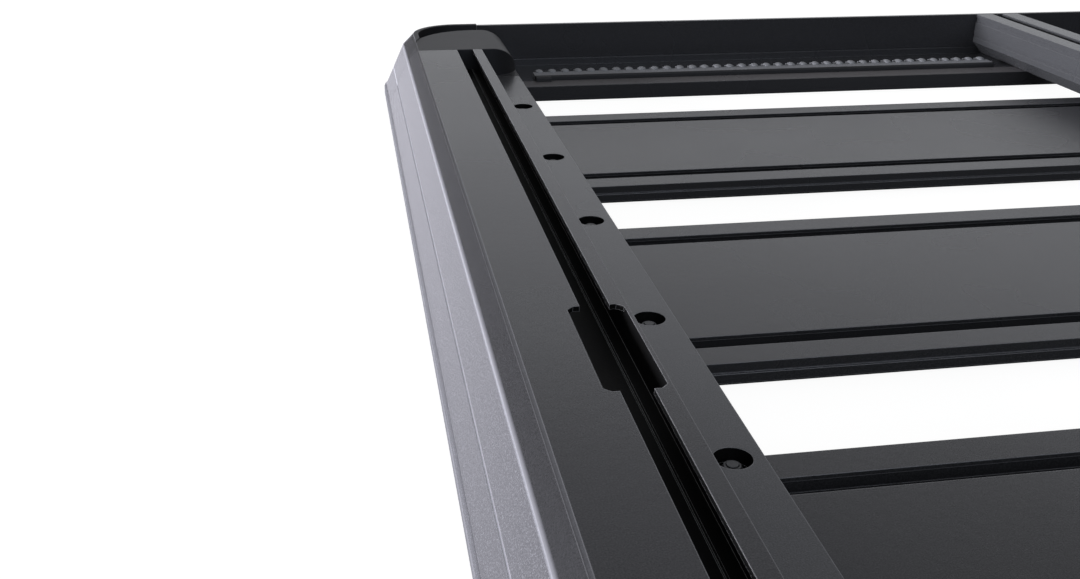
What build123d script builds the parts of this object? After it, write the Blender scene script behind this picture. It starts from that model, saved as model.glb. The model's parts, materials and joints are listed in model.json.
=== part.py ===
"""Flat platform roof rack: extruded aluminium side rails, end rails, planks and a centre rail,
joined by four moulded corner caps. Millimetres, +Z up, +Y along the rack, origin at the centre
of the footprint."""
import os

from build123d import *

# Overall sizes
WIDTH = 1236.0              # across the two side rails, at their lower outer edges
LENGTH = 1892.0             # along the rack, at the lower outer edges of the end rails
RAIL_TOP = 52.0             # top face of the rails, the end walls and the corner caps
FIT = 0.3                   # clearance left between pieces that meet

# Outer skin that all four sides share
LIP_HEIGHT = 6.0            # upright lower lip
LIP_SETBACK = 2.0           # small step above that lip, inwards and upwards
EYE_LINE = 43.0             # height of the bright rounded edge
LEAN = 16.0                 # how far the skin leans in between the lip and that edge
SKIN_LINE = 23.0            # height of the fine line along the leaning skin
SKIN_LINE_DEPTH = 0.6
SKIN_LINE_WIDTH = 1.6
BAND_BEVEL = 0.8            # small bevel where the upper band meets the top

# Side rail
SLOT_SETBACK = 60.4         # outer lower edge to the near lip of the T-slot
SLOT_MOUTH = 13.3           # width of the T-slot between its lips
SLOT_CHANNEL = 25.3         # width of the T-slot under its lips
SLOT_LIP = 2.5              # thickness of the lips
SLOT_DEPTH = 17.0           # top of the rail to the floor of the T-slot
SLOT_RIB = 1.1              # width of the two low ribs on that floor
SLOT_RIB_HEIGHT = 1.0
SLOT_RIB_PLACE = 6.2        # middle of the slot to the middle of a rib
STRIP = 7.9                 # top strip between the T-slot and the ledge
LEDGE_TOP = 28.0            # top of the low inner ledge that holds the planks
LEDGE_WIDTH = 32.4
RAIL_WEB = 3.6              # how far the rail's foot stands back under the ledge

# Entry notch in the lips of the side rail's T-slot
NOTCH_PLACE = 249.0         # centre of the notch from the middle of the rack
NOTCH_LENGTH = 76.4         # at the slot
NOTCH_CORNER = 3.0          # chamfer at the ends of the notch

# Screw seats in the ledge
SEAT_DIAMETER = 15.3
SEAT_DEPTH = 6.5
SEAT_SETBACK = 12.5         # inner edge of the ledge to the centre of a seat

# Planks
PLANKS = 6
PLANK_PITCH = 257.5
PLANK_TOP = 13.0
PLANK_HEIGHT = 12.4
PLANK_FACE = 122.0          # middle face between the two T-slots
PLANK_MOUTH = 11.5
PLANK_RIB = 16.8            # rib outside each T-slot
PLANK_CHANNEL = 17.5
PLANK_LIP = 2.2
PLANK_SLOT_DEPTH = 9.6
PLANK_GROOVE = 1.2          # fine groove along each edge of a plank
PLANK_GROOVE_DROP = 4.8
PLANK_GROOVE_DEPTH = 0.8
PLANK_BEVEL = 1.6

# End rails
END_FLAT = 116.0            # outer lower edge to the inner edge of the floor
WALL_SETBACK = 32.0         # outer lower edge to the inner face of the end wall
WALL_REACH = 25.0           # how far the end wall runs on past the floor, at each end
WALL_LINE = 6.0             # height of the fine groove along the foot of the wall, from the floor
WALL_LINE_WIDTH = 1.4
WALL_LINE_DEPTH = 0.7

# Grip strips on the floor of the end rails
STRIP_SETBACK = 23.0        # inner edge of the floor to the strip
STRIP_WIDTH = 23.0
STRIP_HEIGHT = 4.0
STRIP_BEVEL = 1.2           # bevel along the strip's near edge
STRIP_CENTRE_END = 31.0     # middle of the rack to the strip
STRIP_CAP_GAP = 21.5        # strip to the corner cap
TAB_LENGTH = 14.0           # tab at the strip's outer end
TAB_REACH = 5.0             # how far it stands out from the near edge
TOOTH_PITCH = 12.2          # teeth along the strip's far edge
TOOTH_WIDTH = 6.6
TOOTH_LENGTH = 7.0

# Corner caps
CAP_LENGTH = 134.0          # along the side rail
CORNER_RADIUS = 70.0        # plan radius of the lower outer edge
RIM_RISE = 1.0              # top of the rim above the rails
BLOCK_SETBACK = 52.4        # end of the rack to the flat block inside the rim
BLOCK_RADIUS = 57.0         # plan radius of the block's outer corner
BLOCK_ROUND = 24.0          # quarter round from the block's top down to the ledge
BLOCK_NOSE = 26.0           # plan radius of the block's inner corner over the ledge

# Centre rail
CENTRE_WIDTH = 44.0
CENTRE_MOUTH = 11.0
CENTRE_CHANNEL = 21.0
CENTRE_LIP = 2.5
CENTRE_SLOT_DEPTH = 13.0
CENTRE_SIDE = 27.0          # upright part of its sides, from the top down
CENTRE_FOOT = 22.0          # width of its foot on the planks
CENTRE_BAND_TOP = 3.0       # shallow band along each side
CENTRE_BAND = 5.0
CENTRE_BAND_DEPTH = 0.8
CENTRE_GROOVE_DROP = 19.5   # fine groove along each side
CENTRE_GROOVE = 3.0

# Places that follow from those sizes
RAIL_WIDTH = SLOT_SETBACK + SLOT_MOUTH + STRIP + LEDGE_WIDTH
SLOT_CENTRE = SLOT_SETBACK + SLOT_MOUTH / 2
SKIN_FOOT = LIP_HEIGHT + LIP_SETBACK
EYE_SETBACK = LIP_SETBACK + LEAN
BAND_RISE = RAIL_TOP - EYE_LINE
TOP_SETBACK = EYE_SETBACK + BAND_RISE
SHOULDER = SLOT_SETBACK + SLOT_MOUTH + STRIP
FOOT_INNER = SHOULDER - RAIL_WEB
SIDE_RAIL_LENGTH = LENGTH - 2 * CAP_LENGTH - 2 * FIT
FLOOR_LENGTH = WIDTH - 2 * RAIL_WIDTH - 2 * FIT
PLANK_WIDTH = PLANK_FACE + 2 * PLANK_MOUTH + 2 * PLANK_RIB
PLANK_LENGTH = WIDTH - 2 * FOOT_INNER - 2 * FIT
PLANK_SLOT_CENTRE = PLANK_FACE / 2 + PLANK_MOUTH / 2
PLANK_CENTRES = [(index - (PLANKS - 1) / 2) * PLANK_PITCH for index in range(PLANKS)]
GRIP_LENGTH = WIDTH / 2 - RAIL_WIDTH - STRIP_CAP_GAP - STRIP_CENTRE_END
CENTRE_LENGTH = LENGTH - 2 * WALL_SETBACK - 2 * FIT
LOW_CORNER = (Align.MIN, Align.MIN, Align.MIN)


def closed_section(points, plane):
    """A face on the plane from the corner points of its outline."""
    with BuildSketch(plane) as sketch:
        with BuildLine():
            Polyline(*points, close=True)
        make_face()
    return sketch.sketch


def both_sides(half):
    """A whole outline from its right half, which is listed from the bottom up."""
    return half + [(-across, height) for across, height in reversed(half)]


def slot_outline(mouth, channel, lip, depth, ribs=()):
    """Corner points of a T-slot about X = 0, open at the top, which is at height 0."""
    half = []
    for place, width, height in ribs:
        half += [
            (place - width / 2, -depth),
            (place - width / 2, height - depth),
            (place + width / 2, height - depth),
            (place + width / 2, -depth),
        ]
    half += [(channel / 2, -depth), (channel / 2, -lip), (mouth / 2, -lip), (mouth / 2, lip)]
    return both_sides(half)


def cut_slot(body, outline, start, length, centre, top):
    """The body without a T-slot that runs its whole length."""
    moved = [(across + centre, height + top) for across, height in outline]
    return body - extrude(closed_section(moved, start), amount=length)


SKIN_FOOT_POINTS = [(0, 0), (0, LIP_HEIGHT), (LIP_SETBACK, SKIN_FOOT)]
SKIN_TOP_POINTS = [
    (EYE_SETBACK, EYE_LINE),
    (TOP_SETBACK - BAND_BEVEL, RAIL_TOP - BAND_BEVEL),
    (TOP_SETBACK + BAND_BEVEL, RAIL_TOP),
]


def skin_line():
    """Corner points of the fine line along the leaning skin of the rails."""
    slope = LEAN / (EYE_LINE - SKIN_FOOT)
    setback = LIP_SETBACK + (SKIN_LINE - SKIN_FOOT) * slope
    half_width = SKIN_LINE_WIDTH / 2
    return [
        (setback - half_width * slope, SKIN_LINE - half_width),
        (setback + SKIN_LINE_DEPTH, SKIN_LINE),
        (setback + half_width * slope, SKIN_LINE + half_width),
    ]


def rail_skin():
    """Outer skin of a rail from its foot to the top face: inward distance and height."""
    return SKIN_FOOT_POINTS + skin_line() + SKIN_TOP_POINTS


def side_rail_outline():
    """Cross-section of a side rail: distance from its outer lower edge, and height."""
    return rail_skin() + [
        (SHOULDER, RAIL_TOP),
        (SHOULDER, LEDGE_TOP),
        (RAIL_WIDTH, LEDGE_TOP),
        (RAIL_WIDTH, PLANK_TOP + FIT),
        (FOOT_INNER, PLANK_TOP + FIT),
        (FOOT_INNER, 0),
    ]


def entry_notch(place):
    """Cutter that opens the lips of the T-slot so that a nut can drop in."""
    half_width = SLOT_CHANNEL / 2
    half_length = NOTCH_LENGTH / 2
    quarter = [
        (half_width - NOTCH_CORNER, half_length),
        (half_width, half_length - NOTCH_CORNER),
    ]
    outline = both_sides([(across, -along) for across, along in quarter] + quarter[::-1])
    face = closed_section(outline, Plane.XY)
    return Pos(SLOT_CENTRE, place, RAIL_TOP - SLOT_LIP) * extrude(face, amount=2 * SLOT_LIP)


def screw_seat(place):
    """Cutter for one round screw seat in the ledge; its screw hides the hole below."""
    seat = Cylinder(SEAT_DIAMETER / 2, 2 * SEAT_DEPTH)
    return Pos(RAIL_WIDTH - SEAT_SETBACK, place, LEDGE_TOP) * seat


def make_side_rail():
    """Left side rail with its outer lower edge on X = 0."""
    start = Plane.XZ.offset(-SIDE_RAIL_LENGTH / 2)
    body = extrude(closed_section(side_rail_outline(), start), amount=SIDE_RAIL_LENGTH)
    ribs = [(SLOT_RIB_PLACE, SLOT_RIB, SLOT_RIB_HEIGHT)]
    slot = slot_outline(SLOT_MOUTH, SLOT_CHANNEL, SLOT_LIP, SLOT_DEPTH, ribs)
    body = cut_slot(body, slot, start, SIDE_RAIL_LENGTH, SLOT_CENTRE, RAIL_TOP)
    for side in (-1, 1):
        body -= entry_notch(side * NOTCH_PLACE)
    for centre in PLANK_CENTRES:
        for side in (-1, 1):
            body -= screw_seat(centre + side * PLANK_SLOT_CENTRE)
    return body


def plank_outline():
    """Cross-section of a plank: distance from its centre line, and height."""
    half = PLANK_WIDTH / 2
    bottom = PLANK_TOP - PLANK_HEIGHT
    groove_top = PLANK_TOP - PLANK_GROOVE_DROP
    return both_sides([
        (half - PLANK_BEVEL, bottom),
        (half, bottom + PLANK_BEVEL),
        (half, groove_top - PLANK_GROOVE),
        (half - PLANK_GROOVE_DEPTH, groove_top - PLANK_GROOVE / 2),
        (half, groove_top),
        (half, PLANK_TOP),
    ])


def make_plank():
    """Plank along X, centred on Y = 0, with a T-slot near each of its edges."""
    start = Plane.YZ.offset(-PLANK_LENGTH / 2)
    body = extrude(closed_section(plank_outline(), start), amount=PLANK_LENGTH)
    slot = slot_outline(PLANK_MOUTH, PLANK_CHANNEL, PLANK_LIP, PLANK_SLOT_DEPTH)
    for side in (-1, 1):
        body = cut_slot(body, slot, start, PLANK_LENGTH, side * PLANK_SLOT_CENTRE, PLANK_TOP)
    return body


def end_rail_outline():
    """Cross-section of an end rail: distance from its outer lower edge, and height."""
    line_foot = PLANK_TOP + WALL_LINE
    return rail_skin() + [
        (WALL_SETBACK, RAIL_TOP),
        (WALL_SETBACK, line_foot + WALL_LINE_WIDTH),
        (WALL_SETBACK - WALL_LINE_DEPTH, line_foot + WALL_LINE_WIDTH / 2),
        (WALL_SETBACK, line_foot),
        (WALL_SETBACK, PLANK_TOP),
        (END_FLAT, PLANK_TOP),
        (END_FLAT, 0),
    ]


def make_end_rail():
    """End rail along X, with its outer lower edge on Y = 0 and the rack towards -Y."""
    outline = [(-setback, height) for setback, height in end_rail_outline()]
    wall_length = FLOOR_LENGTH + 2 * WALL_REACH
    body = extrude(closed_section(outline, Plane.YZ.offset(-wall_length / 2)), amount=wall_length)
    beside_floor = Box(WALL_REACH, END_FLAT - WALL_SETBACK, PLANK_TOP, align=LOW_CORNER)
    for corner in (-wall_length / 2, wall_length / 2 - WALL_REACH):
        body -= Pos(corner, -END_FLAT, 0) * beside_floor
    return body


def bevelled_bar(near, far, left, right):
    """Bar of the grip strip along X, bevelled along its near edge."""
    outline = [
        (near, 0),
        (far, 0),
        (far, STRIP_HEIGHT),
        (near + STRIP_BEVEL, STRIP_HEIGHT),
        (near, STRIP_HEIGHT - STRIP_BEVEL),
    ]
    return extrude(closed_section(outline, Plane.YZ.offset(left)), amount=right - left)


def make_grip_strip():
    """Strip along X from the origin, with its near edge on Y = 0 and its teeth along the far edge."""
    bar = bevelled_bar(0, STRIP_WIDTH - TOOTH_LENGTH, 0, GRIP_LENGTH)
    tab = bevelled_bar(-TAB_REACH, STRIP_BEVEL, GRIP_LENGTH - TAB_LENGTH, GRIP_LENGTH)
    count = int(GRIP_LENGTH / TOOTH_PITCH)
    margin = (GRIP_LENGTH - (count - 1) * TOOTH_PITCH - TOOTH_WIDTH) / 2
    far = [(0, STRIP_WIDTH - TOOTH_LENGTH)]
    for index in range(count):
        left = margin + index * TOOTH_PITCH
        far += [
            (left, STRIP_WIDTH - TOOTH_LENGTH),
            (left, STRIP_WIDTH),
            (left + TOOTH_WIDTH, STRIP_WIDTH),
            (left + TOOTH_WIDTH, STRIP_WIDTH - TOOTH_LENGTH),
        ]
    far += [(GRIP_LENGTH, STRIP_WIDTH - TOOTH_LENGTH), (GRIP_LENGTH, STRIP_BEVEL), (0, STRIP_BEVEL)]
    comb = extrude(closed_section(far, Plane.XY), amount=STRIP_HEIGHT)
    return bar + tab + comb


def footprint(setback):
    """Outline of the whole rack, set in by setback, with its rounded corners."""
    return RectangleRounded(WIDTH - 2 * setback, LENGTH - 2 * setback, CORNER_RADIUS - setback)


def skin_layer(low, high):
    """Part of the smooth outer skin between two points of its outline, all round the rack."""
    lower = Plane.XY.offset(low[1]) * footprint(low[0])
    upper = Plane.XY.offset(high[1]) * footprint(high[0])
    return loft([lower, upper])


def block_column():
    """Column over the plan of the flat block at the corner -X, +Y, taller than the cap."""
    left = -WIDTH / 2 + TOP_SETBACK
    end = LENGTH / 2 - BLOCK_SETBACK
    plan = Rectangle(BLOCK_RADIUS + RAIL_WIDTH, LENGTH / 2, align=(Align.MIN, Align.MAX))
    outer_corner = plan.vertices().sort_by(Axis.Y)[-2:].sort_by(Axis.X)[0]
    plan = fillet(outer_corner, BLOCK_RADIUS)
    return extrude(Pos(left, end, 0) * plan, amount=2 * RAIL_TOP)


def block_rounding():
    """Cutter that rounds the block's inner side: over its length, and in plan over the ledge."""
    seam = LENGTH / 2 - CAP_LENGTH
    inner = -WIDTH / 2 + RAIL_WIDTH
    along = Box(BLOCK_ROUND, CAP_LENGTH, BLOCK_ROUND, align=LOW_CORNER)
    along -= Rot(90, 0, 0) * Cylinder(BLOCK_ROUND, 3 * CAP_LENGTH)
    nose = Box(BLOCK_NOSE, BLOCK_NOSE, RAIL_TOP, align=LOW_CORNER)
    nose -= Pos(0, BLOCK_NOSE, 0) * Cylinder(BLOCK_NOSE, 3 * RAIL_TOP)
    return (Pos(inner - BLOCK_ROUND, seam, LEDGE_TOP) * along
            + Pos(inner - BLOCK_NOSE, seam, LEDGE_TOP) * nose)


def make_corner_cap():
    """Moulded cap of the corner at -X, +Y: skin and rim round a trench and a flat block."""
    outline = SKIN_FOOT_POINTS + SKIN_TOP_POINTS
    body = skin_layer(outline[0], outline[1])
    for low, high in zip(outline[1:], outline[2:]):
        body += skin_layer(low, high)
    column = block_column()
    rim = Plane.XY.offset(RAIL_TOP) * footprint(TOP_SETBACK + BAND_BEVEL)
    body += extrude(rim, amount=RIM_RISE) - column
    trench = Plane.XY.offset(PLANK_TOP) * footprint(WALL_SETBACK)
    body -= extrude(trench, amount=RAIL_TOP) - column
    room = Box(RAIL_WIDTH, CAP_LENGTH, 2 * RAIL_TOP, align=(Align.MIN, Align.MAX, Align.MIN))
    cap = body & (Pos(-WIDTH / 2, LENGTH / 2, 0) * room)
    wall_end = Box(WALL_REACH, WALL_SETBACK + FIT, 2 * RAIL_TOP, align=(Align.MIN, Align.MAX, Align.MIN))
    cap -= Pos(-WIDTH / 2 + RAIL_WIDTH - WALL_REACH, LENGTH / 2, 0) * wall_end
    return cap - block_rounding()


def centre_rail_outline():
    """Cross-section of the centre rail: distance from its centre line, and height."""
    half = CENTRE_WIDTH / 2
    band_top = RAIL_TOP - CENTRE_BAND_TOP
    groove_top = RAIL_TOP - CENTRE_GROOVE_DROP
    return both_sides([
        (CENTRE_FOOT / 2, PLANK_TOP + FIT),
        (half, RAIL_TOP - CENTRE_SIDE),
        (half, groove_top - CENTRE_GROOVE),
        (half - CENTRE_BAND_DEPTH, groove_top - CENTRE_GROOVE),
        (half - CENTRE_BAND_DEPTH, groove_top),
        (half, groove_top),
        (half, band_top - CENTRE_BAND),
        (half - CENTRE_BAND_DEPTH, band_top - CENTRE_BAND),
        (half - CENTRE_BAND_DEPTH, band_top),
        (half, band_top),
        (half, RAIL_TOP),
    ])


def make_centre_rail():
    """Centre rail along Y, on top of the planks and of the floors of the end rails."""
    start = Plane.XZ.offset(-CENTRE_LENGTH / 2)
    body = extrude(closed_section(centre_rail_outline(), start), amount=CENTRE_LENGTH)
    slot = slot_outline(CENTRE_MOUTH, CENTRE_CHANNEL, CENTRE_LIP, CENTRE_SLOT_DEPTH)
    return cut_slot(body, slot, start, CENTRE_LENGTH, 0, RAIL_TOP)


def make_rack():
    """Every piece of the rack at its place, by the name of its node."""
    pieces = {}
    side_rail = Pos(-WIDTH / 2, 0, 0) * make_side_rail()
    pieces["side_rail_left"] = side_rail
    pieces["side_rail_right"] = mirror(side_rail, about=Plane.YZ)
    end_rail = Pos(0, LENGTH / 2, 0) * make_end_rail()
    pieces["end_rail_rear"] = end_rail
    pieces["end_rail_front"] = mirror(end_rail, about=Plane.XZ)
    cap = make_corner_cap()
    strip_place = LENGTH / 2 - END_FLAT + STRIP_SETBACK
    strip = mirror(Pos(STRIP_CENTRE_END, strip_place, PLANK_TOP) * make_grip_strip(), about=Plane.YZ)
    for kind, shape in (("corner_cap", cap), ("grip_strip", strip)):
        right = mirror(shape, about=Plane.YZ)
        pieces[f"{kind}_rear_left"] = shape
        pieces[f"{kind}_rear_right"] = right
        pieces[f"{kind}_front_left"] = mirror(shape, about=Plane.XZ)
        pieces[f"{kind}_front_right"] = mirror(right, about=Plane.XZ)
    plank = make_plank()
    for number, centre in enumerate(PLANK_CENTRES, start=1):
        pieces[f"plank_{number}"] = Pos(0, centre, 0) * plank
    pieces["centre_rail"] = make_centre_rail()
    return pieces


os.makedirs("parts", exist_ok=True)
for node, shape in make_rack().items():
    export_step(shape, f"parts/{node}.step")
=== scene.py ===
"""Looks of the flat platform roof rack: finishes, screws, strip nubs, studio and camera."""
from __future__ import annotations

import json
import logging
import math
from dataclasses import dataclass, field, replace
from enum import Enum
from typing import Sequence

import bmesh
import bpy
from mathutils import Matrix, Vector


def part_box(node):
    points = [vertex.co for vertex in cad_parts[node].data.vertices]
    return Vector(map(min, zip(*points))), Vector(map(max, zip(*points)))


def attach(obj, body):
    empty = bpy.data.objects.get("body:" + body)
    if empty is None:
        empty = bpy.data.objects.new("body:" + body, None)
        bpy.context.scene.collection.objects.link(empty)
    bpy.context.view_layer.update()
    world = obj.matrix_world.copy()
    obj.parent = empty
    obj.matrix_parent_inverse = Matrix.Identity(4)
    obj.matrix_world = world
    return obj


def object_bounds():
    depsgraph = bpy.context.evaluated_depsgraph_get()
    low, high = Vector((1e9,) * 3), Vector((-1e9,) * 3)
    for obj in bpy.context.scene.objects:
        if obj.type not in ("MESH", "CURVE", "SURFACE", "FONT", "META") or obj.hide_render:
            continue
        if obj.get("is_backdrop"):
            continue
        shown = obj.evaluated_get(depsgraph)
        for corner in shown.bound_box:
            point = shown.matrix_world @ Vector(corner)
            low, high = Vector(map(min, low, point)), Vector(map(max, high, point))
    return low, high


LOG = logging.getLogger("roof_rack")
ROOT_BODY = "root"
MM = 0.001
BEVEL_SAMPLES = 6

# Places of the colours among the sockets of a Mix node.
MIX_FIRST_COLOUR, MIX_SECOND_COLOUR, MIX_COLOUR_RESULT = 6, 7, 2

# Layers of the fine grain's noise, and of the noise of the wider unevenness.
GRAIN_DETAIL, GRAIN_BREAKUP = 3.0, 0.6
SWELL_DETAIL, SWELL_BREAKUP = 2.0, 0.5

Colour = tuple[float, float, float]
Point = tuple[float, float, float]
Tree = bpy.types.NodeTree
Socket = bpy.types.NodeSocket


class Slot(Enum):
    """Material slots of the record."""

    RAIL = "coated_rail"
    CAP = "moulded_cap"
    GRIP = "grip_strip"


class End(Enum):
    """Ends of the rack, as the sign of Y."""

    FRONT = -1
    REAR = 1


class Side(Enum):
    """Sides of the rack, as the sign of X."""

    LEFT = -1
    RIGHT = 1


def new_material(name: str) -> tuple[bpy.types.Material, Tree]:
    """Make an empty node material.

    Args:
        name: name of the material.

    Returns:
        The material and its node tree, cleared.
    """
    material = bpy.data.materials.new(name)
    material.use_nodes = True
    material.node_tree.nodes.clear()
    return material, material.node_tree


def add_node(tree: Tree, kind: str, **settings: object) -> bpy.types.Node:
    """Add a node, and set its properties and its inputs or link them.

    Args:
        tree: node tree that gets the node.
        kind: Blender's identifier of the node type.
        settings: properties by name, and inputs by socket name with underscores for spaces. An input's
            value is a plain value, or an output socket that is linked to it.

    Returns:
        The new node.
    """
    node = tree.nodes.new(kind)
    for key, value in settings.items():
        socket = node.inputs.get(key.replace("_", " "))
        if socket is None:
            setattr(node, key, value)
        else:
            feed(tree, socket, value)
    return node


def feed(tree: Tree, socket: Socket, value: object) -> None:
    """Link an input to an output socket, or give it a plain value.

    Args:
        tree: the node tree.
        socket: the input.
        value: an output socket or the plain value.
    """
    if isinstance(value, Socket):
        tree.links.new(value, socket)
    else:
        socket.default_value = value


def add_math(tree: Tree, operation: str, *values: float | Socket, clamp: bool = False) -> Socket:
    """Add a Math node.

    Args:
        tree: node tree that gets the node.
        operation: Blender's identifier of the operation.
        values: its values in order, each a number or an output socket.
        clamp: whether the result stays between 0 and 1.

    Returns:
        The result's socket.
    """
    node = add_node(tree, "ShaderNodeMath", operation=operation, use_clamp=clamp)
    for socket, value in zip(node.inputs, values):
        feed(tree, socket, value)
    return node.outputs[0]


def add_vector_math(tree: Tree, operation: str, *values: Point | Socket) -> bpy.types.Node:
    """Add a Vector Math node.

    Args:
        tree: node tree that gets the node.
        operation: Blender's identifier of the operation.
        values: its vectors in order, each a point or an output socket.

    Returns:
        The node, whose result is its Vector or its Value output.
    """
    node = add_node(tree, "ShaderNodeVectorMath", operation=operation)
    for socket, value in zip(node.inputs, values):
        feed(tree, socket, value)
    return node


def add_noise(tree: Tree, place: Socket, scale: float, detail: float, breakup: float) -> Socket:
    """Add a noise texture.

    Args:
        tree: node tree that gets the node.
        place: the point's socket.
        scale: the noise's scale, in waves for each metre.
        detail: number of its finer layers.
        breakup: share of each finer layer.

    Returns:
        The noise's value.
    """
    noise = add_node(
        tree, "ShaderNodeTexNoise", Vector=place, Scale=scale, Detail=detail, Roughness=breakup
    )
    return noise.outputs["Fac"]


def mix_values(tree: Tree, share: Socket, first: float | Socket, second: float | Socket) -> Socket:
    """Mix two values.

    Args:
        tree: node tree that gets the node.
        share: share of the second value.
        first: a number or an output socket.
        second: a number or an output socket.

    Returns:
        The mixed value's socket.
    """
    return add_node(
        tree, "ShaderNodeMix", data_type="FLOAT", Factor=share, A=first, B=second
    ).outputs[0]


def mix_colours(tree: Tree, share: Socket, first: Colour | Socket, second: Colour) -> Socket:
    """Mix two colours.

    Args:
        tree: node tree that gets the node.
        share: share of the second colour.
        first: a colour or an output socket.
        second: a colour.

    Returns:
        The mixed colour's socket.
    """
    node = add_node(tree, "ShaderNodeMix", data_type="RGBA", Factor=share)
    opaque = first if isinstance(first, Socket) else (*first, 1)
    feed(tree, node.inputs[MIX_FIRST_COLOUR], opaque)
    feed(tree, node.inputs[MIX_SECOND_COLOUR], (*second, 1))
    return node.outputs[MIX_COLOUR_RESULT]


def set_ramp(node: bpy.types.Node, stops: Sequence[tuple[float, Colour]]) -> None:
    """Give a colour ramp its stops.

    Args:
        node: the ramp node.
        stops: place and colour of each stop, in order.
    """
    elements = node.color_ramp.elements
    while len(elements) < len(stops):
        elements.new(1.0)
    for element, (place, colour) in zip(elements, stops):
        element.position = place
        element.color = (*colour, 1)


@dataclass(frozen=True)
class OuterSkinWithPaintedHighlights:
    """Painted highlight lines and painted glints of the skin round the rack, placed by the Object
    coordinates.

    Lengths are in metres. The reach is how far the skin goes inwards from the outline. The lines are
    pairs of height and strength, from the floor up.
    """

    half_width: float = 618.0 * MM
    half_length: float = 946.0 * MM
    corner_radius: float = 70.0 * MM
    reach: float = 28.0 * MM
    height: float = 60.0 * MM
    # Painted highlight lines along the skin, at these heights.
    lines: Sequence[tuple[float, float]] = (
        (1.2 * MM, 0.0), (1.6 * MM, 0.22), (7.4 * MM, 0.22), (8.0 * MM, 0.0),
        (22.3 * MM, 0.0), (22.6 * MM, 0.48), (23.5 * MM, 0.48), (23.8 * MM, 0.0),
        (41.6 * MM, 0.0), (42.8 * MM, 0.44), (43.4 * MM, 0.44), (44.5 * MM, 0.0),
        (51.3 * MM, 0.0), (51.5 * MM, 0.06), (52.2 * MM, 0.06),
    )
    # Colour of the painted highlights and glints.
    colour: Colour = (0.63, 0.63, 0.70)
    roughness: float = 0.27
    lip_top: float = 7.0 * MM
    lip_roughness: float = 0.75
    painted_glint: float = 0.28
    painted_glint_from: float = 0.50
    painted_glint_full: float = 0.76
    painted_glint_top: float = 43.0 * MM

    def setback(self, tree: Tree, place: Socket) -> Socket:
        """Find how far a point lies inside the rack's rounded outline.

        Args:
            tree: the material's node tree.
            place: the point's socket.

        Returns:
            The distance's socket, which stops at the corner radius.
        """
        # Heights stay far below 1 m, so the third number never counts.
        corner = (self.half_width - self.corner_radius, self.half_length - self.corner_radius, 1.0)
        away = add_vector_math(tree, "ABSOLUTE", place).outputs["Vector"]
        past = add_vector_math(tree, "SUBTRACT", away, corner).outputs["Vector"]
        out = add_vector_math(tree, "MAXIMUM", past, (0.0, 0.0, 0.0)).outputs["Vector"]
        length = add_vector_math(tree, "LENGTH", out).outputs["Value"]
        return add_math(tree, "SUBTRACT", self.corner_radius, length)

    def share(self, tree: Tree, place: Socket) -> Socket:
        """Tell the skin from the rest of the rack.

        Args:
            tree: the material's node tree.
            place: the point's socket.

        Returns:
            A value of 1 on the skin and 0 elsewhere.
        """
        return add_math(tree, "LESS_THAN", self.setback(tree, place), self.reach)

    def gloss(self, tree: Tree, place: Socket, roughness: Socket, share: Socket) -> Socket:
        """Set the roughness of the skin and of its duller lip, and keep that of the rest.

        Args:
            tree: the material's node tree.
            place: the point's socket.
            roughness: the roughness away from the skin.
            share: the value that tells the skin from the rest.

        Returns:
            The roughness.
        """
        level = add_node(tree, "ShaderNodeSeparateXYZ", Vector=place).outputs["Z"]
        low = add_math(tree, "LESS_THAN", level, self.lip_top)
        own = mix_values(tree, low, self.roughness, self.lip_roughness)
        return mix_values(tree, share, roughness, own)

    def painted_highlight(self, tree: Tree, place: Socket, grain: Socket, share: Socket) -> Socket:
        """Find how far the coat turns to the colour of the painted highlight lines and glints.

        Args:
            tree: the material's node tree.
            place: the point's socket.
            grain: the grain's value.
            share: the value that tells the skin from the rest.

        Returns:
            A value from 0 to 1, which is 0 away from the skin.
        """
        level = add_node(tree, "ShaderNodeSeparateXYZ", Vector=place).outputs["Z"]
        rise = add_node(tree, "ShaderNodeMapRange", Value=level, From_Max=self.height)
        lines = add_node(tree, "ShaderNodeValToRGB", Fac=rise.outputs["Result"])
        set_ramp(lines, [(height / self.height, (strength,) * 3) for height, strength in self.lines])
        # Painted glints on the grain, below a height.
        glint = add_node(
            tree, "ShaderNodeMapRange", Value=grain, From_Min=self.painted_glint_from,
            From_Max=self.painted_glint_full, To_Max=self.painted_glint,
        )
        below = add_math(tree, "LESS_THAN", level, self.painted_glint_top)
        speck = add_math(tree, "MULTIPLY", glint.outputs["Result"], below)
        both = add_math(tree, "ADD", lines.outputs["Color"], speck)
        return add_math(tree, "MULTIPLY", both, share, clamp=True)


@dataclass(frozen=True)
class CrossBandOfPaintedLightAndShade:
    """Band across the rack whose colour paints light where it is paler and shade where it is darker.
    Lengths in metres from the middle of the rack.
    """

    centre: float
    half_width: float
    colour: Colour

    def over(self, tree: Tree, place: Socket, colour: Socket) -> Socket:
        """Lay the band over a colour, at both ends of the rack.

        Args:
            tree: the material's node tree.
            place: the point's socket.
            colour: the colour beside the band.

        Returns:
            The colour with the band.
        """
        along = add_node(tree, "ShaderNodeSeparateXYZ", Vector=place).outputs["Y"]
        away = add_math(tree, "ABSOLUTE", along)
        within = add_math(tree, "COMPARE", away, self.centre, self.half_width)
        return mix_colours(tree, within, colour, self.colour)


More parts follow.
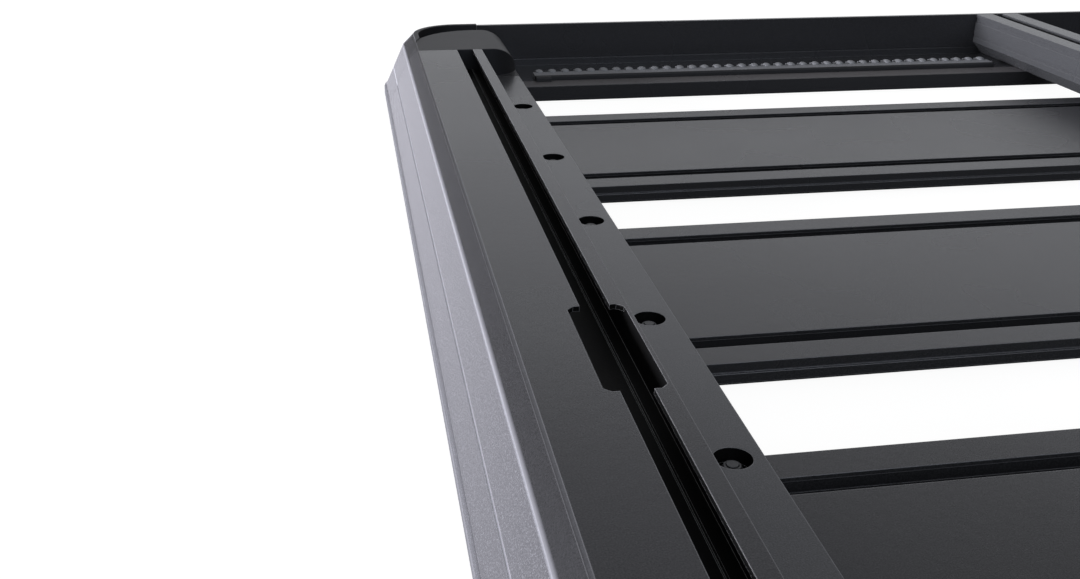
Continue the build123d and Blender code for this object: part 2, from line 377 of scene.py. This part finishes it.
@dataclass(frozen=True)
class GrainFinish:
    """Surface with a fine even grain, a wider slight unevenness and painted highlights along its edges.

    Lengths are in metres and colours are linear.
    """

    name: str
    colour: Colour
    pale_colour: Colour
    edge_highlight_colour: Colour
    roughness: float
    roughness_spread: float = 0.08
    grain_size: float = 0.65 * MM
    peel_size: float = 5.0 * MM
    grain_height: float = 0.06 * MM
    peel_height: float = 0.05 * MM
    mottle_scale: float = 9.0
    speckle_from: float = 0.40
    speckle_full: float = 0.72
    edge_radius: float = 0.9 * MM
    edge_floor: float = 0.03
    edge_full: float = 0.16
    specular: float = 0.5
    tint: Colour = (0.88, 0.90, 1.0)
    skin: OuterSkinWithPaintedHighlights | None = None
    band: CrossBandOfPaintedLightAndShade | None = None

    def edge_highlight_mask(self, tree: Tree, rounded: Socket) -> Socket:
        """Find the edges for the painted highlight, where the rounded normal leaves the true one.

        Args:
            tree: the material's node tree.
            rounded: the rounded normal.

        Returns:
            A value from 0 on the faces to 1 on the edges.
        """
        normal = add_node(tree, "ShaderNodeNewGeometry").outputs["Normal"]
        match = add_vector_math(tree, "DOT_PRODUCT", rounded, normal).outputs["Value"]
        root = add_math(tree, "POWER", add_math(tree, "SUBTRACT", 1.0, match), 0.5)
        gain = add_node(
            tree, "ShaderNodeMapRange", Value=root, From_Min=self.edge_floor, From_Max=self.edge_full
        )
        return gain.outputs["Result"]

    def material(self) -> bpy.types.Material:
        """Build the node material.

        Returns:
            The finished material.
        """
        material, tree = new_material(self.name)
        place = add_node(tree, "ShaderNodeTexCoord").outputs["Object"]
        grain = add_noise(tree, place, 1 / self.grain_size, GRAIN_DETAIL, GRAIN_BREAKUP)
        peel = add_noise(tree, place, 1 / self.peel_size, SWELL_DETAIL, SWELL_BREAKUP)
        mottle = add_noise(tree, place, self.mottle_scale, SWELL_DETAIL, SWELL_BREAKUP)
        speckle = add_node(tree, "ShaderNodeValToRGB", Fac=grain)
        set_ramp(speckle, ((self.speckle_from, self.colour), (self.speckle_full, self.pale_colour)))
        half_spread = self.roughness_spread / 2
        gloss = add_node(
            tree, "ShaderNodeMapRange", Value=mottle,
            To_Min=self.roughness - half_spread, To_Max=self.roughness + half_spread,
        )
        edge = add_node(tree, "ShaderNodeBevel", samples=BEVEL_SAMPLES, Radius=self.edge_radius)
        rounded = edge.outputs["Normal"]
        # Painted highlight along the edges.
        colour = mix_colours(
            tree, self.edge_highlight_mask(tree, rounded), speckle.outputs["Color"], self.edge_highlight_colour
        )
        roughness = gloss.outputs["Result"]
        if self.skin:
            share = self.skin.share(tree, place)
            # Painted highlight lines and glints on the skin.
            painted_highlight = self.skin.painted_highlight(tree, place, grain, share)
            colour = mix_colours(tree, painted_highlight, colour, self.skin.colour)
            roughness = self.skin.gloss(tree, place, roughness, share)
        # The band paints light on the end rails' floor lip and shade on the grip strips' near part.
        if self.band:
            colour = self.band.over(tree, place, colour)
        low = add_node(
            tree, "ShaderNodeBump", Strength=1.0, Distance=self.peel_height, Normal=rounded, Height=peel
        )
        fine = add_node(
            tree, "ShaderNodeBump", Strength=1.0, Distance=self.grain_height,
            Normal=low.outputs["Normal"], Height=grain,
        )
        shader = add_node(
            tree, "ShaderNodeBsdfPrincipled", Base_Color=colour, Roughness=roughness,
            Normal=fine.outputs["Normal"], Specular_IOR_Level=self.specular,
            Specular_Tint=(*self.tint, 1),
        )
        add_node(tree, "ShaderNodeOutputMaterial", Surface=shader.outputs["BSDF"])
        return material


# The skin's lines and glints and the pale edges of this coat are painted highlights.
RAIL_COAT = GrainFinish(
    name="textured_black_coat",
    colour=(0.026, 0.026, 0.028),
    pale_colour=(0.058, 0.058, 0.062),
    edge_highlight_colour=(0.22, 0.22, 0.235),
    roughness=0.27,
    edge_radius=0.6 * MM,
    skin=OuterSkinWithPaintedHighlights(),
)
# Paler copy of the rail coat: painted light on the centre rail.
CENTRE_COAT = replace(
    RAIL_COAT,
    name="centre_coat_painted_light",
    colour=(0.080, 0.082, 0.090),
    pale_colour=(0.138, 0.141, 0.151),
    edge_highlight_colour=(0.14, 0.142, 0.152),
)
# The paler band on the end rails' floor lip is painted light.
END_COAT = replace(
    RAIL_COAT,
    name="end_rail_coat",
    colour=(0.032, 0.032, 0.035),
    pale_colour=(0.070, 0.070, 0.076),
    edge_highlight_colour=(0.075, 0.075, 0.080),
    band=CrossBandOfPaintedLightAndShade(centre=841.5 * MM, half_width=10.4 * MM, colour=(0.150, 0.142, 0.146)),
)
# Paler copy of the rail coat: painted light on the ledges' tops.
LEDGE_COAT = replace(
    RAIL_COAT,
    name="ledge_coat_painted_light",
    colour=(0.064, 0.065, 0.070),
    pale_colour=(0.112, 0.114, 0.122),
)
# Nearly black: painted shade inside the slots and the screw seats, with painted highlights on their edges.
SLOT_PAINTED_SHADE = GrainFinish(
    name="slot_inside_painted_shade",
    colour=(0.004, 0.004, 0.004),
    pale_colour=(0.010, 0.010, 0.010),
    edge_highlight_colour=(0.34, 0.34, 0.35),
    roughness=0.55,
    edge_radius=0.3 * MM,
    specular=0.07,
)
# The cap's skin lines and glints and its pale edges are painted highlights.
CAP_MOULDING = GrainFinish(
    name="fine_grained_moulding",
    colour=(0.012, 0.012, 0.013),
    pale_colour=(0.024, 0.024, 0.026),
    edge_highlight_colour=(0.06, 0.06, 0.064),
    roughness=0.52,
    grain_size=0.6 * MM,
    grain_height=0.05 * MM,
    edge_radius=1.2 * MM,
    skin=OuterSkinWithPaintedHighlights(),
)
# Mid grey, paler than the black rubber: painted light; its darker band is painted shade on the strips' near
# part.
GRIP_RUBBER = GrainFinish(
    name="matt_grip_rubber",
    colour=(0.24, 0.244, 0.262),
    pale_colour=(0.34, 0.345, 0.37),
    edge_highlight_colour=(0.34, 0.344, 0.37),
    roughness=0.60,
    grain_size=1.2 * MM,
    edge_radius=0.5 * MM,
    band=CrossBandOfPaintedLightAndShade(centre=850.0 * MM, half_width=5.9 * MM, colour=(0.030, 0.030, 0.032)),
)
# Paler than the strip: painted highlight on the nubs.
NUB_RUBBER = replace(
    GRIP_RUBBER, name="nub_rubber_painted_highlight", colour=(0.27, 0.275, 0.295), pale_colour=(0.37, 0.376, 0.40)
)
SCREW_STEEL = GrainFinish(
    name="blackened_screw_steel",
    colour=(0.050, 0.050, 0.053),
    pale_colour=(0.085, 0.085, 0.090),
    edge_highlight_colour=(0.20, 0.20, 0.21),
    roughness=0.34,
    grain_size=0.7 * MM,
    grain_height=0.02 * MM,
    peel_height=0.02 * MM,
    edge_radius=0.25 * MM,
)


@dataclass(frozen=True)
class RailPatch:
    """Part of a side rail that gets a material of its own: painted shade in a hollow, painted light on the
    ledge.

    Lengths are in metres. The centre lies across from the middle of the rack.
    """

    centre: float
    half_width: float
    floor: float
    roof: float

    def holds(self, place: Vector) -> bool:
        """Tell whether a point lies on the patch."""
        across = abs(abs(place.x) - self.centre) <= self.half_width
        return across and self.floor <= place.z <= self.roof

    def dress(self, rail: bpy.types.Object, finish: bpy.types.Material) -> None:
        """Give the patch's faces their finish.

        Args:
            rail: the side rail's object.
            finish: material of the patch.
        """
        if finish.name not in rail.data.materials:
            rail.data.materials.append(finish)
        for face in rail.data.polygons:
            if self.holds(rail.matrix_world @ face.center):
                face.material_index = rail.data.materials.find(finish.name)


# The slot and seat insides get painted shade; the ledge's top gets painted light.
SLOT_INSIDE = RailPatch(centre=550.95 * MM, half_width=12.8 * MM, floor=34.9 * MM, roof=51.9 * MM)
SEAT_INSIDE = RailPatch(centre=516.5 * MM, half_width=7.8 * MM, floor=21.4 * MM, roof=27.9 * MM)
LEDGE_FACE = RailPatch(centre=520.3 * MM, half_width=16.5 * MM, floor=27.95 * MM, roof=28.05 * MM)


@dataclass(frozen=True)
class TurnedSolid:
    """Closed solid of revolution about Z, from its outline as pairs of radius and height in metres.

    The stretch makes its rings oval along Y.
    """

    outline: Sequence[tuple[float, float]]
    facets: int = 28
    stretch: float = 1.0

    def mesh(self, name: str) -> bpy.types.Mesh:
        """Turn the outline, from its lowest point on the axis to its highest.

        Args:
            name: name of the mesh.

        Returns:
            The mesh, with its faces outwards.
        """
        shape = bmesh.new()
        rings = []
        for radius, height in self.outline:
            count = self.facets if radius > 0 else 1
            turns = [2 * math.pi * index / count for index in range(count)]
            wide, deep = radius, self.stretch * radius
            rings.append([shape.verts.new((wide * math.cos(t), deep * math.sin(t), height)) for t in turns])
        for lower, upper in zip(rings, rings[1:]):
            for index in range(self.facets):
                after = (index + 1) % self.facets
                corners = [lower[index % len(lower)], lower[after % len(lower)],
                           upper[after % len(upper)], upper[index % len(upper)]]
                shape.faces.new(list(dict.fromkeys(corners)))
        bmesh.ops.recalc_face_normals(shape, faces=shape.faces)
        mesh = bpy.data.meshes.new(name)
        shape.to_mesh(mesh)
        shape.free()
        return mesh


@dataclass
class RepeatTree:
    """Geometry Nodes tree that copies one solid along rows, the rows in groups, and the groups across.

    The turn is the widest random turn of a copy about Z, in radians.
    """

    name: str
    steps: Sequence[str] = ("Row", "Group", "Side")
    turn: float = math.tau
    seed: int = 7

    def __post_init__(self) -> None:
        """Build the tree and keep its named inputs."""
        self.tree = bpy.data.node_groups.new(self.name, "GeometryNodeTree")
        self.sockets: dict[str, str] = {}
        self.add_input("Geometry", "NodeSocketGeometry")
        self.add_input("First Place", "NodeSocketVector")
        for step in self.steps:
            self.add_input(f"{step} Count", "NodeSocketInt")
            self.add_input(f"{step} Step", "NodeSocketVector")
        self.add_input("Size Spread", "NodeSocketFloat")
        self.add_input("Finish", "NodeSocketMaterial")
        self.tree.interface.new_socket("Geometry", in_out="OUTPUT", socket_type="NodeSocketGeometry")
        self.fill()

    def add_input(self, name: str, kind: str) -> None:
        """Add one named input and keep its identifier.

        Args:
            name: name of the input.
            kind: socket type.
        """
        socket = self.tree.interface.new_socket(name, in_out="INPUT", socket_type=kind)
        self.sockets[name] = socket.identifier

    def fill(self) -> None:
        """Add the tree's nodes: nested rows of places, one copy on each, made real, with its finish."""
        given = add_node(self.tree, "NodeGroupInput").outputs
        places = add_node(
            self.tree, "GeometryNodeMeshLine", mode="OFFSET", Count=given[f"{self.steps[0]} Count"],
            Start_Location=given["First Place"], Offset=given[f"{self.steps[0]} Step"],
        ).outputs["Mesh"]
        for step in self.steps[1:]:
            line = add_node(
                self.tree, "GeometryNodeMeshLine", mode="OFFSET", Count=given[f"{step} Count"],
                Offset=given[f"{step} Step"],
            )
            rows = add_node(
                self.tree, "GeometryNodeInstanceOnPoints", Points=line.outputs["Mesh"], Instance=places
            )
            places = add_node(
                self.tree, "GeometryNodeRealizeInstances", Geometry=rows.outputs["Instances"]
            ).outputs["Geometry"]
        turn = self.random_number(self.seed, 0.0, self.turn)
        smallest = add_math(self.tree, "SUBTRACT", 1.0, given["Size Spread"])
        copies = add_node(
            self.tree, "GeometryNodeInstanceOnPoints", Points=places, Instance=given["Geometry"],
            Rotation=add_node(self.tree, "ShaderNodeCombineXYZ", Z=turn).outputs[0],
            Scale=self.random_number(self.seed + 1, smallest, 1.0),
        )
        solid = add_node(
            self.tree, "GeometryNodeRealizeInstances", Geometry=copies.outputs["Instances"]
        )
        finished = add_node(
            self.tree, "GeometryNodeSetMaterial", Geometry=solid.outputs["Geometry"],
            Material=given["Finish"],
        )
        output = add_node(self.tree, "NodeGroupOutput")
        self.tree.links.new(finished.outputs[0], output.inputs[0])

    def random_number(self, seed: int, low: float | Socket, high: float) -> Socket:
        """Add a random number for each copy.

        Args:
            seed: seed of the draws.
            low: the lowest number, or its socket.
            high: the highest number.

        Returns:
            The number's socket.
        """
        draw = add_node(self.tree, "FunctionNodeRandomValue", data_type="FLOAT", Seed=seed)
        limits = [socket for socket in draw.inputs if socket.enabled and socket.type == "VALUE"]
        for socket, limit in zip(limits, (low, high)):
            feed(self.tree, socket, limit)
        return next(socket for socket in draw.outputs if socket.enabled)

    def apply(self, name: str, solid: bpy.types.Mesh, values: dict[str, object]) -> bpy.types.Object:
        """Copy a solid with the tree and keep the result as a plain mesh.

        Args:
            name: name of the new piece.
            solid: mesh of one copy.
            values: values of the tree's named inputs.

        Returns:
            The new piece, linked to the scene.
        """
        source = bpy.data.objects.new(f"{name}_source", solid)
        bpy.context.scene.collection.objects.link(source)
        modifier = source.modifiers.new("copies", "NODES")
        modifier.node_group = self.tree
        for key, value in values.items():
            modifier[self.sockets[key]] = value
        seen = source.evaluated_get(bpy.context.evaluated_depsgraph_get())
        mesh = bpy.data.meshes.new_from_object(seen)
        mesh.name = name
        source.modifiers.remove(modifier)
        bpy.data.objects.remove(source)
        piece = bpy.data.objects.new(name, mesh)
        bpy.context.scene.collection.objects.link(piece)
        return piece


@dataclass
class PlankScrews:
    """The screws that hold the planks, one in each seat of the ledges. Lengths in metres."""

    tree: RepeatTree
    seat_setback: float = 12.5 * MM
    seat_floor: float = 21.5 * MM
    slot_centre: float = 66.75 * MM
    flange_radius: float = 4.9 * MM
    flange_edge: float = 0.9 * MM
    flange_bevel: float = 0.5 * MM
    cone_top: float = 2.2 * MM
    cone_spread: float = 0.6 * MM
    collar_radius: float = 3.5 * MM
    collar_foot: float = 2.6 * MM
    collar_drop: float = 0.5 * MM
    stud_radius: float = 2.4 * MM
    groove: float = 0.35 * MM
    groove_depth: float = 0.8 * MM
    chamfer: float = 0.2 * MM
    head_height: float = 4.1 * MM

    def head(self) -> TurnedSolid:
        """Outline of one screw head: low flange, collar, groove and the flat stud in the middle."""
        collar_top = self.head_height - self.collar_drop
        groove_floor = collar_top - self.groove_depth
        return TurnedSolid([
            (0.0, 0.0),
            (self.flange_radius, 0.0),
            (self.flange_radius, self.flange_edge),
            (self.flange_radius - self.flange_bevel, self.flange_edge + self.flange_bevel),
            (self.collar_radius + self.cone_spread, self.cone_top),
            (self.collar_radius, self.collar_foot),
            (self.collar_radius, collar_top - self.chamfer),
            (self.collar_radius - self.chamfer, collar_top),
            (self.stud_radius + self.groove, collar_top),
            (self.stud_radius + self.groove / 2, groove_floor),
            (self.stud_radius, groove_floor),
            (self.stud_radius, self.head_height - self.chamfer),
            (self.stud_radius - self.chamfer, self.head_height),
            (0.0, self.head_height),
        ])

    def build(self, finish: bpy.types.Material) -> bpy.types.Object:
        """Make all the screws as one piece.

        Args:
            finish: material of the screws.

        Returns:
            The piece.
        """
        low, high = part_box("side_rail_left")
        planks = sorted(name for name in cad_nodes() if name.startswith("plank_"))
        first = [(a + b) / 2 for a, b in zip(*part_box(planks[0]))]
        last = [(a + b) / 2 for a, b in zip(*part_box(planks[-1]))]
        pitch = (last[1] - first[1]) / (len(planks) - 1)
        seat = high[0] - self.seat_setback
        piece = self.tree.apply("plank_screws", self.head().mesh("screw_head"), {
            "First Place": (seat, first[1] - self.slot_centre, self.seat_floor),
            "Row Count": 2,
            "Row Step": (0.0, 2 * self.slot_centre, 0.0),
            "Group Count": len(planks),
            "Group Step": (0.0, pitch, 0.0),
            "Side Count": 2,
            "Side Step": (-2 * seat, 0.0, 0.0),
            "Size Spread": 0.0,
            "Finish": finish,
        })
        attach(piece, ROOT_BODY)
        return piece


@dataclass
class StripNubs:
    """Low oval nubs on the teeth along the far edge of each grip strip. Lengths in metres."""

    tree: RepeatTree
    pitch: float = 12.2 * MM
    inset: float = 5.6 * MM
    radius: float = 3.9 * MM
    stretch: float = 1.35
    height: float = 2.2 * MM
    facets: int = 18
    dome_angles: Sequence[float] = (0.0, 0.4, 0.8, 1.2)
    size_spread: float = 0.08

    def nub(self) -> TurnedSolid:
        """Outline of one nub: a low oval dome."""
        dome = [(self.radius * math.cos(t), self.height * math.sin(t)) for t in self.dome_angles]
        outline = [(0.0, 0.0), *dome, (0.0, self.height)]
        return TurnedSolid(outline, facets=self.facets, stretch=self.stretch)

    def build(self, end: End, side: Side, finish: bpy.types.Material) -> bpy.types.Object:
        """Make the nubs of one strip.

        Args:
            end: end of the rack that the strip is at.
            side: side of the rack that the strip is on.
            finish: material of the nubs.

        Returns:
            The piece.
        """
        strip = f"grip_strip_{end.name.lower()}_{side.name.lower()}"
        low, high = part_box(strip)
        length = high[0] - low[0]
        count = int(length / self.pitch)
        margin = (length - (count - 1) * self.pitch) / 2
        far = high[1] if end is End.REAR else low[1]
        piece = self.tree.apply(f"nubs_{strip}", self.nub().mesh("nub"), {
            "First Place": (low[0] + margin, far - end.value * self.inset, high[2]),
            "Row Count": count,
            "Row Step": (self.pitch, 0.0, 0.0),
            "Group Count": 1,
            "Side Count": 1,
            "Size Spread": self.size_spread,
            "Finish": finish,
        })
        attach(piece, ROOT_BODY)
        return piece


@dataclass
class Camera:
    """The photograph's camera: place in metres, angles in degrees, lens and sensor in millimetres."""

    place: Point = (-0.652, -0.152, 0.260)
    heading: float = 9.92
    pitch: float = 24.045
    roll: float = 0.65
    lens: float = 37.82
    sensor: float = 36.0
    nearest: float = 0.01

    def build(self) -> bpy.types.Object:
        """Make the camera and give it to the scene.

        Returns:
            The camera object.
        """
        data = bpy.data.cameras.new("photo_camera")
        data.lens = self.lens
        data.sensor_width = self.sensor
        data.clip_start = self.nearest
        camera = bpy.data.objects.new("photo_camera", data)
        turn = Matrix.Rotation(-math.radians(self.heading), 4, "Z")
        tip = Matrix.Rotation(math.radians(90 - self.pitch), 4, "X")
        lean = Matrix.Rotation(math.radians(self.roll), 4, "Z")
        camera.matrix_world = Matrix.Translation(self.place) @ turn @ tip @ lean
        bpy.context.scene.collection.objects.link(camera)
        bpy.context.scene.camera = camera
        return camera


@dataclass
class Softbox:
    """A rectangular lamp aimed at a point. Lengths in metres, power in watts."""

    name: str
    place: Point
    target: Point
    size: tuple[float, float]
    power: float
    colour: Colour

    def build(self) -> bpy.types.Object:
        """Make the lamp.

        Returns:
            The lamp object.
        """
        data = bpy.data.lights.new(self.name, "AREA")
        data.shape = "RECTANGLE"
        data.size, data.size_y = self.size
        data.energy = self.power
        data.color = self.colour
        lamp = bpy.data.objects.new(self.name, data)
        lamp.location = self.place
        aim = Vector(self.target) - Vector(self.place)
        lamp.rotation_mode = "QUATERNION"
        lamp.rotation_quaternion = aim.to_track_quat("-Z", "Y")
        bpy.context.scene.collection.objects.link(lamp)
        return lamp


@dataclass
class Studio:
    """Pale floor, white surroundings and soft lamps. Lengths in metres."""

    footprint: tuple[float, float]
    floor_size: float = 14.0
    floor_drop: float = 0.5 * MM
    floor_colour: Colour = (0.20, 0.20, 0.20)
    floor_glow: float = 0.93
    gloss_glow: float = 1.44
    gloss_colour: Colour = (0.90, 0.89, 1.0)
    horizon: float = 0.0
    zenith: float = 0.36
    zenith_start: float = 0.40
    behind_share: float = 0.35
    behind_until: float = -0.4
    behind_end: float = 0.2
    lamps: Sequence[Softbox] = field(
        default_factory=lambda: (
            Softbox(
                "left_softbox", (-4.0, 1.2, 0.6), (-0.6, 0.5, 0.0), (2.0, 0.9), 187.0, (0.95, 0.95, 1.0)
            ),
            Softbox(
                "far_low_softbox", (1.6, 4.8, 0.9), (0.3, 0.6, 0.0), (4.8, 1.4), 11.2, (0.93, 0.95, 1.0)
            ),
            Softbox(
                "far_high_softbox", (1.2, 4.4, 2.0), (0.3, 0.6, 0.0), (4.6, 0.9), 7.5, (0.93, 0.95, 1.0)
            ),
            Softbox(
                "near_softbox", (0.0, -3.6, 2.2), (0.0, 0.4, 0.0), (4.0, 2.2), 51.0, (0.84, 0.91, 1.0)
            ),
        )
    )

    def outside(self, tree: Tree) -> Socket:
        """Find the floor outside the rack; under the rack the glossy glow is left out, as a painted shadow
        in reflections.

        Args:
            tree: the floor material's node tree.

        Returns:
            A value of 1 outside the rack's footprint and 0 under it.
        """
        place = add_node(tree, "ShaderNodeTexCoord").outputs["Object"]
        parts = add_node(tree, "ShaderNodeSeparateXYZ", Vector=place).outputs
        past = [
            add_math(tree, "GREATER_THAN", add_math(tree, "ABSOLUTE", parts[axis]), size / 2)
            for axis, size in zip("XY", self.footprint)
        ]
        return add_math(tree, "MAXIMUM", *past)

    def glow_strength(self, tree: Tree) -> Socket:
        """Strength of the floor's white glow for camera rays, and for glossy rays outside the rack only,
        which paints a shadow under it in reflections.

        Args:
            tree: the floor material's node tree.

        Returns:
            The strength's socket.
        """
        rays = add_node(tree, "ShaderNodeLightPath").outputs
        # No glossy glow under the rack: painted shadow in reflections.
        open_floor = add_math(tree, "MULTIPLY", rays["Is Glossy Ray"], self.outside(tree))
        gloss = add_math(tree, "MULTIPLY", open_floor, self.gloss_glow)
        return mix_values(tree, rays["Is Camera Ray"], gloss, self.floor_glow)

    def build_floor(self) -> bpy.types.Object:
        """Make the floor, which shows nearly white to the camera and still takes a soft shadow.

        Returns:
            The floor object.
        """
        mesh = bpy.data.meshes.new("floor")
        half = self.floor_size / 2
        low = -self.floor_drop
        corners = [(-half, -half, low), (half, -half, low), (half, half, low), (-half, half, low)]
        mesh.from_pydata(corners, [], [(0, 1, 2, 3)])
        floor = bpy.data.objects.new("floor", mesh)
        bpy.context.scene.collection.objects.link(floor)
        material, tree = new_material("pale_floor")
        matt = add_node(tree, "ShaderNodeBsdfDiffuse", Color=(*self.floor_colour, 1))
        seen = add_node(tree, "ShaderNodeLightPath").outputs["Is Camera Ray"]
        colour = mix_colours(tree, seen, self.gloss_colour, (1.0, 1.0, 1.0))
        glow = add_node(tree, "ShaderNodeEmission", Color=colour, Strength=self.glow_strength(tree))
        both = add_node(tree, "ShaderNodeAddShader")
        tree.links.new(matt.outputs[0], both.inputs[0])
        tree.links.new(glow.outputs[0], both.inputs[1])
        add_node(tree, "ShaderNodeOutputMaterial", Surface=both.outputs[0])
        mesh.materials.append(material)
        floor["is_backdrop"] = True
        return floor

    def build_world(self) -> None:
        """Make the surroundings white for the camera and dimmer as light."""
        world = bpy.data.worlds.new("studio")
        bpy.context.scene.world = world
        world.use_nodes = True
        tree = world.node_tree
        tree.nodes.clear()
        direction = add_node(tree, "ShaderNodeTexCoord").outputs["Generated"]
        parts = add_node(tree, "ShaderNodeSeparateXYZ", Vector=direction).outputs
        level = add_node(
            tree, "ShaderNodeMapRange", Value=parts["Z"], From_Max=self.zenith_start,
            To_Min=self.horizon, To_Max=self.zenith,
        )
        behind = add_node(
            tree, "ShaderNodeMapRange", Value=parts["Y"], From_Min=self.behind_until,
            From_Max=self.behind_end, To_Min=self.behind_share,
        )
        light = add_math(tree, "MULTIPLY", level.outputs["Result"], behind.outputs["Result"])
        seen = add_node(tree, "ShaderNodeLightPath").outputs["Is Camera Ray"]
        strength = mix_values(tree, seen, light, 1.0)
        background = add_node(tree, "ShaderNodeBackground", Color=(1, 1, 1, 1), Strength=strength)
        add_node(tree, "ShaderNodeOutputWorld", Surface=background.outputs[0])

    def build(self) -> None:
        """Make the floor, the surroundings and the lamps."""
        bpy.context.scene.view_settings.view_transform = "Standard"
        self.build_floor()
        self.build_world()
        for lamp in self.lamps:
            lamp.build()


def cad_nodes() -> list[str]:
    """Names of the frame's nodes, in order."""
    return [item["node"] for item in FRAME["record"]["subparts"]]


def give_finishes(
    finishes: dict[Slot, bpy.types.Material], own: dict[str, bpy.types.Material]
) -> None:
    """Give every CAD node its own finish or that of its slot.

    Args:
        finishes: the material of each slot.
        own: the material of each node that has its own.
    """
    for item in FRAME["record"]["subparts"]:
        mesh = FRAME["nodes"][item["node"]].data
        mesh.materials.clear()
        mesh.materials.append(own.get(item["node"], finishes[Slot(item["material_slot"])]))
        LOG.info("%s gets %s", item["node"], mesh.materials[0].name)


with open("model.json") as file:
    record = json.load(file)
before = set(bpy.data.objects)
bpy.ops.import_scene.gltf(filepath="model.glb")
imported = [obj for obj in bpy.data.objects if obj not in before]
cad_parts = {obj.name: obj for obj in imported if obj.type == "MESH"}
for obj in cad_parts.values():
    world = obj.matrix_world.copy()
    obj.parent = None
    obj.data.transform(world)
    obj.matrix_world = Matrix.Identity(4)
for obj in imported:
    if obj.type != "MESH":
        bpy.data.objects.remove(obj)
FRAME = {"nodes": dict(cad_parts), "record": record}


def main() -> None:
    """Build the looks around the frame."""
    logging.basicConfig(level=logging.INFO, format="%(message)s")
    cad_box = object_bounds()
    Camera().build()
    Studio(footprint=tuple(b - a for a, b in zip(*cad_box))[:2]).build()
    finishes = {
        Slot.RAIL: RAIL_COAT.material(),
        Slot.CAP: CAP_MOULDING.material(),
        Slot.GRIP: GRIP_RUBBER.material(),
    }
    # The centre rail's paler coat is painted light, and the end rails' coat has a band of painted light.
    own = {"centre_rail": CENTRE_COAT.material()}
    own.update(dict.fromkeys((f"end_rail_{end.name.lower()}" for end in End), END_COAT.material()))
    give_finishes(finishes, own)
    # The slots' and seats' insides get painted shade, and the ledges' tops get painted light.
    painted_shade_finish, ledge = SLOT_PAINTED_SHADE.material(), LEDGE_COAT.material()
    for side in Side:
        for patch, finish in ((SLOT_INSIDE, painted_shade_finish), (SEAT_INSIDE, painted_shade_finish), (LEDGE_FACE, ledge)):
            patch.dress(FRAME["nodes"][f"side_rail_{side.name.lower()}"], finish)
    screws = PlankScrews(RepeatTree("rows_of_copies"))
    nubs, nub_highlight_finish = StripNubs(RepeatTree("rows_of_nubs", turn=0.0)), NUB_RUBBER.material()
    LOG.info("built %s", screws.build(SCREW_STEEL.material()).name)
    for end in End:
        for side in Side:
            LOG.info("built %s", nubs.build(end, side, nub_highlight_finish).name)


if __name__ == "__main__":
    main()
